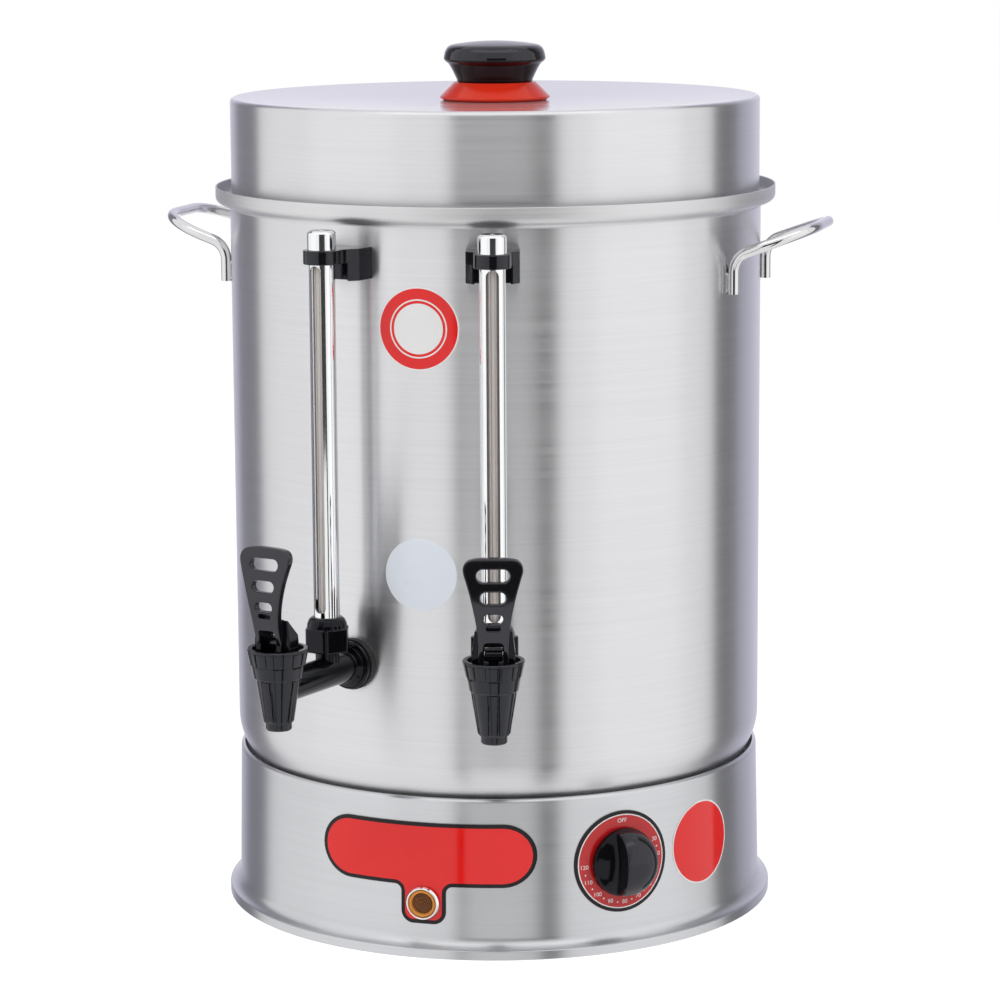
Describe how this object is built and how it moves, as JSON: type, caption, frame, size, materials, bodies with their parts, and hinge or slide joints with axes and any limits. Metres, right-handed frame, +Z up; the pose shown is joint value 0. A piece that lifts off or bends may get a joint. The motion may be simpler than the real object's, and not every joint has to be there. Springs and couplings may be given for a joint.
{
  "type": "tea urn",
  "caption": "Electric tea urn: round steel tank on a pedestal base, deep lid with a knob, brew pot with lift-out strainer, self-closing lever taps with sight gauges, thermostat dial and lamp.",
  "frame": {"origin": "centre of the base's flat underside, on the table plane and on the tank's axis", "axes": "+Z up along the tank's axis, -Y out of the front midway between the taps, +X to the right seen from the front"},
  "size_m": [0.446, 0.4566, 0.5701],
  "materials": {
    "brushed_steel": "fine horizontal brushing",
    "bright_steel": "polished",
    "black_plastic": "satin gloss",
    "red_plastic": "gloss",
    "red_enamel": "printed sheet, satin",
    "pale_plastic": "moulded",
    "amber_lens": "clear tinted",
    "rubber": "matt",
    "brass": "turned",
    "sight_glass": "clear tube"
  },
  "bodies": {
    "urn": {"base_shell": "brushed_steel", "base_plate": "brushed_steel", "base_screws": "bright_steel", "support_ring": "brushed_steel", "tank_nuts": "bright_steel", "heater": "bright_steel", "heater_glands": "brass", "dry_boil_cutout": "black_plastic", "thermostat_body": "pale_plastic", "thermostat_probe": "brass", "thermostat_nut": "bright_steel", "dial_plate": "red_enamel", "front_plate": "red_enamel", "lamp_body": "black_plastic", "lamp_bezel": "bright_steel", "lamp_lens": "amber_lens", "lamp_nut": "pale_plastic", "cord_gland": "black_plastic", "gland_nut": "black_plastic", "terminal_block": "pale_plastic", "tank": "brushed_steel", "handle_left": "bright_steel", "handle_right": "bright_steel", "brew_pot": "brushed_steel", "pot_legs": "brushed_steel", "pot_outlet": "brushed_steel", "tap_gaskets": "rubber", "water_lock_nut": "brass", "gauge_nuts": "black_plastic", "gauge_seals": "rubber", "gauge_glasses": "sight_glass", "tea_guard": "bright_steel", "water_guard": "bright_steel", "gauge_caps": "bright_steel", "tea_bracket": "black_plastic", "water_bracket": "black_plastic", "bracket_screws": "bright_steel", "tea_tap_body": "black_plastic", "tea_bonnet": "black_plastic", "water_tap_body": "black_plastic", "water_bonnet": "black_plastic"},
    "lid": {"lid_shell": "brushed_steel", "knob_foot": "red_plastic", "knob_cap": "black_plastic", "knob_screw": "bright_steel"},
    "strainer": {"strainer_basket": "brushed_steel", "strainer_grips": "bright_steel"},
    "dial": {"thermostat_shaft": "bright_steel", "thermostat_knob": "black_plastic"},
    "tea_valve": {"tea_stem": "pale_plastic", "tea_seal": "rubber", "tea_spring": "bright_steel"},
    "tea_handle": {"tea_lever": "black_plastic", "tea_pin": "bright_steel"},
    "water_valve": {"water_stem": "pale_plastic", "water_seal": "rubber", "water_spring": "bright_steel"},
    "water_handle": {"water_lever": "black_plastic", "water_pin": "bright_steel"}
  },
  "joints": [
    {"name": "lid_lift", "type": "slide", "parent": "urn", "child": "lid", "axis": [0, 0, 1], "range_m": [0, 0.2]},
    {"name": "strainer_lift", "type": "slide", "parent": "urn", "child": "strainer", "axis": [0, 0, 1], "range_m": [0, 0.07]},
    {"name": "dial_turn", "type": "hinge", "parent": "urn", "child": "dial", "pos_m": [0.11823, -0.12902, 0.0575], "axis": [-0.6756, 0.7373, 0], "range_deg": [0, 270]},
    {"name": "tea_stem_lift", "type": "slide", "parent": "urn", "child": "tea_valve", "axis": [0, 0, 1], "range_m": [0, 0.003], "deforming": ["tea_spring"]},
    {"name": "tea_lever_pull", "type": "hinge", "parent": "tea_valve", "child": "tea_handle", "pos_m": [-0.06878, -0.2497, 0.215], "axis": [0.9641, -0.2656, 0], "range_deg": [0, 45], "stiffness_Nm_per_rad": 0.08, "springref_deg": -22.92},
    {"name": "water_stem_lift", "type": "slide", "parent": "urn", "child": "water_valve", "axis": [0, 0, 1], "range_m": [0, 0.003], "deforming": ["water_spring"]},
    {"name": "water_lever_pull", "type": "hinge", "parent": "water_valve", "child": "water_handle", "pos_m": [0.06878, -0.2497, 0.215], "axis": [0.9641, 0.2656, 0], "range_deg": [0, 45], "stiffness_Nm_per_rad": 0.08, "springref_deg": -22.92}
  ],
  "couplings": [
    {"joint": "tea_lever_pull", "follows": "tea_stem_lift", "rad_per_m": 261.8},
    {"joint": "water_lever_pull", "follows": "water_stem_lift", "rad_per_m": 261.8}
  ]
}
